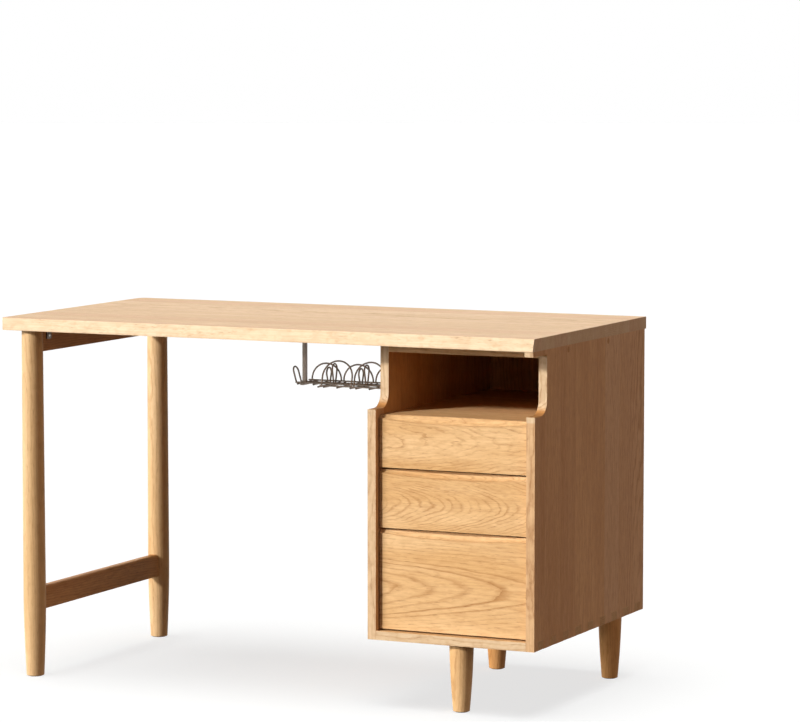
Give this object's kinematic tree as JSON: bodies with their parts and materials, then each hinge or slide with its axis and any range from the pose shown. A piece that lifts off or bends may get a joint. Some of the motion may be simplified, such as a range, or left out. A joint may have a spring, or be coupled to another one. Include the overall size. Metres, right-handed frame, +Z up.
{
  "type": "writing desk with drawers",
  "caption": "Oak writing desk with a leg frame at the left, a drawer pedestal with an open shelf at the right, scooped finger pulls and a wire cable tray under the top.",
  "frame": {"origin": "on the floor, under the middle of the desktop", "axes": "+X to the sitter's right, along the desk's length; +Y towards the back; +Z up"},
  "size_m": [1.2, 0.6, 0.75],
  "materials": {
    "oak_top": "satin",
    "oak_panel": "satin",
    "oak_board": "satin",
    "oak_drawer_front": "satin",
    "oak_leg": "satin",
    "oak_rail": "satin",
    "oak_end_grain": "satin",
    "oak_plywood": "matte",
    "drawer_box_wood": "matte",
    "drawer_bottom_plywood": "matte",
    "runner_wood": "matte",
    "tray_steel": "satin",
    "bracket_steel": "satin",
    "screw_steel": "satin",
    "insert_brass": "satin",
    "glide_plastic": "matte"
  },
  "bodies": {
    "root": {"desktop": "oak_top", "right_side_panel": "oak_panel", "left_side_panel": "oak_panel", "pedestal_bottom_board": "oak_board", "pedestal_top_board": "oak_board", "pedestal_shelf": "oak_board", "pedestal_back_panel": "oak_plywood", "side_panel_plugs": "oak_end_grain", "side_panel_screws": "screw_steel", "shelf_dowels": "drawer_box_wood", "top_fixing_screws": "screw_steel", "front_left_leg": "oak_leg", "rear_left_leg": "oak_leg", "leg_apron": "oak_rail", "leg_stretcher": "oak_rail", "apron_brackets": "bracket_steel", "apron_bracket_screws": "screw_steel", "pedestal_front_leg": "oak_leg", "pedestal_rear_left_leg": "oak_leg", "pedestal_rear_right_leg": "oak_leg", "leg_hanger_bolts": "screw_steel", "leg_threaded_inserts": "insert_brass", "foot_glides": "glide_plastic", "runner_screws": "screw_steel", "tray_rails": "tray_steel", "tray_cross_wires": "tray_steel", "tray_front_arches": "tray_steel", "tray_rear_arches": "tray_steel", "tray_inner_loops": "tray_steel", "tray_end_loops": "tray_steel", "tray_left_hanger": "tray_steel", "tray_right_hanger": "tray_steel", "tray_hanger_screws": "screw_steel", "top_left_runner": "runner_wood", "top_right_runner": "runner_wood", "middle_left_runner": "runner_wood", "middle_right_runner": "runner_wood", "bottom_left_runner": "runner_wood", "bottom_right_runner": "runner_wood"},
    "top_drawer": {"top_drawer_front": "oak_drawer_front", "top_drawer_left_side": "drawer_box_wood", "top_drawer_right_side": "drawer_box_wood", "top_drawer_back": "drawer_box_wood", "top_drawer_bottom": "drawer_bottom_plywood"},
    "middle_drawer": {"middle_drawer_front": "oak_drawer_front", "middle_drawer_left_side": "drawer_box_wood", "middle_drawer_right_side": "drawer_box_wood", "middle_drawer_back": "drawer_box_wood", "middle_drawer_bottom": "drawer_bottom_plywood"},
    "bottom_drawer": {"bottom_drawer_front": "oak_drawer_front", "bottom_drawer_left_side": "drawer_box_wood", "bottom_drawer_right_side": "drawer_box_wood", "bottom_drawer_back": "drawer_box_wood", "bottom_drawer_bottom": "drawer_bottom_plywood"}
  },
  "joints": [
    {"name": "top_drawer_slide", "type": "slide", "parent": "root", "child": "top_drawer", "axis": [0, -1, 0], "range_m": [0, 0.35]},
    {"name": "middle_drawer_slide", "type": "slide", "parent": "root", "child": "middle_drawer", "axis": [0, -1, 0], "range_m": [0, 0.35]},
    {"name": "bottom_drawer_slide", "type": "slide", "parent": "root", "child": "bottom_drawer", "axis": [0, -1, 0], "range_m": [0, 0.35]}
  ]
}
